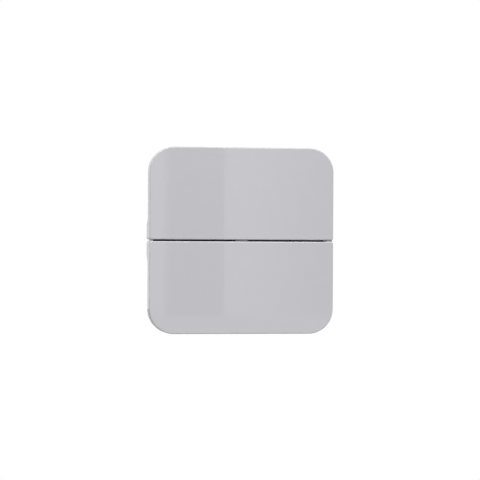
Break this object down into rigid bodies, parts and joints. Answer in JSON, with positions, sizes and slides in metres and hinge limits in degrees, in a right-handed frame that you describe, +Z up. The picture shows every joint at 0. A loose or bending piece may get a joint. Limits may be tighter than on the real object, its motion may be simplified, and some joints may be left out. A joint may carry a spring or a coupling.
{
  "type": "light switch",
  "caption": "Flush wall light switch: wide stacked rocker keys tilt sideways and latch over snap-action contacts, on a steel ring with box-screw slots and spreading claws.",
  "frame": {"origin": "midway between the two box-screw slots, on the wall surface at the back of the support ring", "axes": "+X right as seen from the room, +Y into the wall, +Z up"},
  "size_m": [0.0805, 0.0367, 0.08],
  "materials": {
    "key_plastic": "glossy pale grey moulded plastic",
    "carrier_plastic": "plain moulded plastic",
    "plunger_plastic": "unfilled natural plastic",
    "spring_steel": "drawn spring wire",
    "frame_plastic": "dark fine-grained moulded plastic",
    "pad_rubber": "soft brownish grey elastomer",
    "ring_steel": "zinc-plated sheet steel",
    "cover_plastic": "dark fine-grained moulded plastic",
    "housing_plastic": "light grey moulded plastic",
    "contact_copper": "bright stamped copper alloy",
    "contact_silver": "bright silver alloy",
    "cage_brass": "stamped brass",
    "screw_steel": "zinc-plated steel"
  },
  "bodies": {
    "insert": {"base_frame": "frame_plastic", "stop_bumpers": "pad_rubber", "support_ring": "ring_steel", "mechanism_cover": "cover_plastic", "switch_base": "housing_plastic", "line_bus": "contact_copper", "terminal_cages": "cage_brass", "terminal_screws": "screw_steel", "cover_screws": "screw_steel", "upper_fixed_contact": "contact_silver", "upper_output_strip": "contact_copper", "lower_fixed_contact": "contact_silver", "lower_output_strip": "contact_copper"},
    "upper_key": {"upper_rocker": "key_plastic", "upper_actuator": "carrier_plastic", "upper_plunger": "plunger_plastic", "upper_spring": "spring_steel"},
    "upper_bridge": {"upper_contact_blade": "contact_copper", "upper_moving_contact": "contact_silver"},
    "upper_claw_screw": {"upper_claw_screw": "screw_steel"},
    "upper_claw": {"upper_claw": "ring_steel"},
    "upper_claw_nut": {"upper_claw_nut": "cage_brass"},
    "lower_key": {"lower_rocker": "key_plastic", "lower_actuator": "carrier_plastic", "lower_plunger": "plunger_plastic", "lower_spring": "spring_steel"},
    "lower_bridge": {"lower_contact_blade": "contact_copper", "lower_moving_contact": "contact_silver"},
    "lower_claw_screw": {"lower_claw_screw": "screw_steel"},
    "lower_claw": {"lower_claw": "ring_steel"},
    "lower_claw_nut": {"lower_claw_nut": "cage_brass"}
  },
  "joints": [
    {"name": "upper_key_tilt", "type": "hinge", "parent": "insert", "child": "upper_key", "pos_m": [0, -0.003, 0], "axis": [0, 0, -1], "range_deg": [0, 8]},
    {"name": "upper_bridge_rock", "type": "hinge", "parent": "insert", "child": "upper_bridge", "pos_m": [0, 0.015, 0], "axis": [0, 0, -1], "range_deg": [-16, 0]},
    {"name": "upper_claw_screw_turn", "type": "hinge", "parent": "insert", "child": "upper_claw_screw", "pos_m": [0, 0, 0.0278], "axis": [0, 1, 0], "range_deg": [0, 729.4]},
    {"name": "upper_claw_swing", "type": "hinge", "parent": "insert", "child": "upper_claw", "pos_m": [0, 0.002, 0.0228], "axis": [1, 0, 0], "range_deg": [0, 14]},
    {"name": "upper_claw_nut_slide", "type": "slide", "parent": "insert", "child": "upper_claw_nut", "axis": [0, -1, 0], "range_m": [0, 0.00101]},
    {"name": "lower_key_tilt", "type": "hinge", "parent": "insert", "child": "lower_key", "pos_m": [0, -0.003, 0], "axis": [0, 0, -1], "range_deg": [0, 8]},
    {"name": "lower_bridge_rock", "type": "hinge", "parent": "insert", "child": "lower_bridge", "pos_m": [0, 0.015, 0], "axis": [0, 0, -1], "range_deg": [-16, 0]},
    {"name": "lower_claw_screw_turn", "type": "hinge", "parent": "insert", "child": "lower_claw_screw", "pos_m": [0, 0, -0.0278], "axis": [0, 1, 0], "range_deg": [0, 729.4]},
    {"name": "lower_claw_swing", "type": "hinge", "parent": "insert", "child": "lower_claw", "pos_m": [0, 0.002, -0.0228], "axis": [-1, 0, 0], "range_deg": [0, 14]},
    {"name": "lower_claw_nut_slide", "type": "slide", "parent": "insert", "child": "lower_claw_nut", "axis": [0, -1, 0], "range_m": [0, 0.00101]}
  ],
  "couplings": [
    {"joint": "upper_bridge_rock", "follows": "upper_key_tilt", "ratio": -2},
    {"joint": "upper_claw_screw_turn", "follows": "upper_claw_nut_slide", "rad_per_m": 12566},
    {"joint": "upper_claw_swing", "follows": "upper_claw_nut_slide", "rad_per_m": 241.19},
    {"joint": "lower_bridge_rock", "follows": "lower_key_tilt", "ratio": -2},
    {"joint": "lower_claw_screw_turn", "follows": "lower_claw_nut_slide", "rad_per_m": 12566},
    {"joint": "lower_claw_swing", "follows": "lower_claw_nut_slide", "rad_per_m": 241.19}
  ]
}
